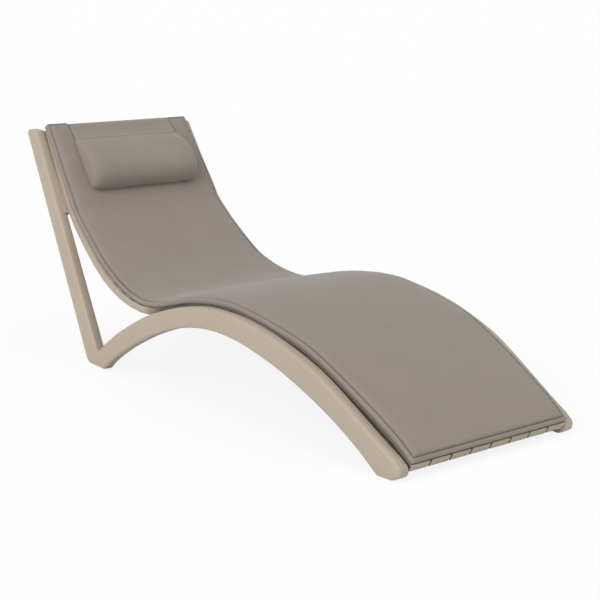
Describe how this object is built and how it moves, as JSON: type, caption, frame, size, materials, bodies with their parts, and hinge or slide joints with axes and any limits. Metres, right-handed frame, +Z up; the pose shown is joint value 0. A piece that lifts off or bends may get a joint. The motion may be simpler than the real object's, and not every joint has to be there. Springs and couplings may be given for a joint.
{
  "type": "sun lounger",
  "caption": "Wave-shaped resin sun lounger: side frames of leg and arch, curved lengthwise slats on cross bearers, a fitted fabric pad and a sliding head pillow on a weighted flap.",
  "frame": {"origin": "on the floor, in the middle of the lounger's length and width", "axes": "+Y towards the head end along the longest side, +X towards the left hand of the person lying on it, +Z up"},
  "size_m": [0.7112, 1.9079, 0.7445],
  "materials": {
    "frame_resin": "moulded beige resin with a fine matt texture",
    "slat_resin": "same beige resin as the frames, fine matt texture",
    "bearer_resin": "same beige resin, plain matt",
    "screw_steel": "plain stainless steel",
    "glide_rubber": "matt taupe rubber",
    "pad_fabric": "fine plain weave, grey taupe, matt",
    "pillow_fabric": "fine plain weave, grey taupe, matt",
    "flap_fabric": "fine plain weave, grey taupe, matt",
    "webbing": "dark woven webbing"
  },
  "bodies": {
    "lounger": {"side_frame_left": "frame_resin", "side_frame_right": "frame_resin", "seat_slat_1": "slat_resin", "seat_slat_2": "slat_resin", "seat_slat_3": "slat_resin", "seat_slat_4": "slat_resin", "seat_slat_5": "slat_resin", "seat_slat_6": "slat_resin", "seat_slat_7": "slat_resin", "seat_slat_8": "slat_resin", "foot_bearer": "bearer_resin", "shin_bearer": "bearer_resin", "knee_bearer": "bearer_resin", "thigh_bearer": "bearer_resin", "seat_bearer": "bearer_resin", "back_bearer": "bearer_resin", "head_bearer": "bearer_resin", "foot_bearer_screw_left": "screw_steel", "foot_bearer_screw_right": "screw_steel", "shin_bearer_screw_left": "screw_steel", "shin_bearer_screw_right": "screw_steel", "knee_bearer_screw_left": "screw_steel", "knee_bearer_screw_right": "screw_steel", "thigh_bearer_screw_left": "screw_steel", "thigh_bearer_screw_right": "screw_steel", "seat_bearer_screw_left": "screw_steel", "seat_bearer_screw_right": "screw_steel", "back_bearer_screw_left": "screw_steel", "back_bearer_screw_right": "screw_steel", "head_bearer_screw_left": "screw_steel", "head_bearer_screw_right": "screw_steel", "slat_1_foot_screw": "screw_steel", "slat_1_head_screw": "screw_steel", "slat_2_foot_screw": "screw_steel", "slat_2_head_screw": "screw_steel", "slat_3_foot_screw": "screw_steel", "slat_3_head_screw": "screw_steel", "slat_4_foot_screw": "screw_steel", "slat_4_head_screw": "screw_steel", "slat_5_foot_screw": "screw_steel", "slat_5_head_screw": "screw_steel", "slat_6_foot_screw": "screw_steel", "slat_6_head_screw": "screw_steel", "slat_7_foot_screw": "screw_steel", "slat_7_head_screw": "screw_steel", "slat_8_foot_screw": "screw_steel", "slat_8_head_screw": "screw_steel", "foot_glide_front_left": "glide_rubber", "foot_glide_front_right": "glide_rubber", "foot_glide_rear_left": "glide_rubber", "foot_glide_rear_right": "glide_rubber", "seat_pad": "pad_fabric", "pad_holding_band": "webbing", "pillow_flap_front": "flap_fabric", "pillow_flap_top": "flap_fabric", "pillow_flap_rear": "flap_fabric"},
    "pillow": {"head_pillow": "pillow_fabric"},
    "counterweight": {"pillow_counterweight": "flap_fabric"}
  },
  "joints": [
    {"name": "pillow_slide", "type": "slide", "parent": "lounger", "child": "pillow", "axis": [0, 0.5872, 0.8094], "range_m": [-0.045, 0.025], "deforming": ["pillow_flap_front"]},
    {"name": "counterweight_slide", "type": "slide", "parent": "lounger", "child": "counterweight", "axis": [0, 0, 1], "range_m": [-0.025, 0.045], "deforming": ["pillow_flap_rear"]}
  ],
  "couplings": [
    {"joint": "counterweight_slide", "follows": "pillow_slide", "ratio": -1}
  ]
}
